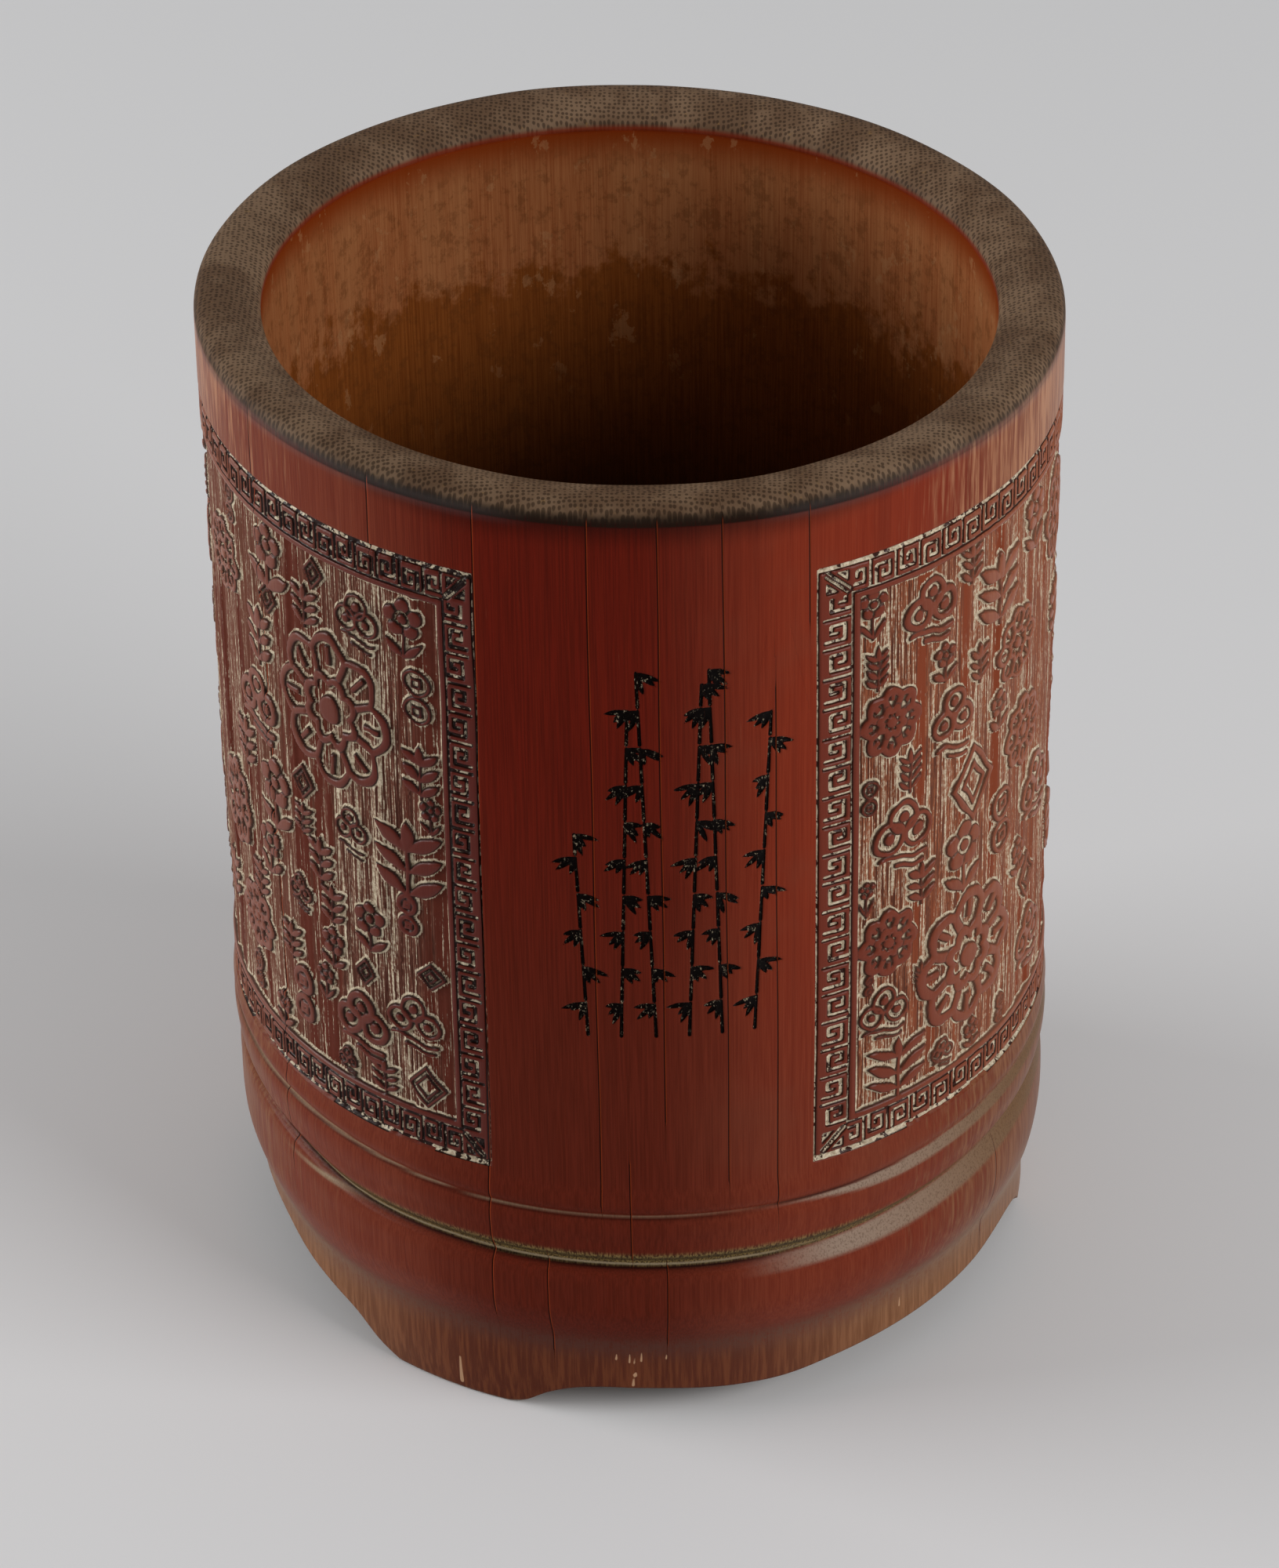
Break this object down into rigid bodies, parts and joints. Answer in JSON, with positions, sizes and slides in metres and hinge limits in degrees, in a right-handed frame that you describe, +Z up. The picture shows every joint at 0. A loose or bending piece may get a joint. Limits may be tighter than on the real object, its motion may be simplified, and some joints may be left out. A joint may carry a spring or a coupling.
{
  "type": "brush holder pot",
  "caption": "Thick-walled carved bamboo pot with a dished rim, two relief panels, a node ring and low cut-out feet, closed below by a let-in floor disc.",
  "frame": {"origin": "centre of the bottom of the pot's box, on the plane its feet stand on", "axes": "+Z up along the pot, -Y towards the plain front between the two carved panels"},
  "size_m": [0.132, 0.13, 0.168],
  "materials": {
    "bamboo": "aged red-brown bamboo skin, satin",
    "floor_wood": "dark bare wood, matt"
  },
  "bodies": {
    "root": {"bamboo_culm": "bamboo", "floor_disc": "floor_wood"}
  },
  "joints": []
}
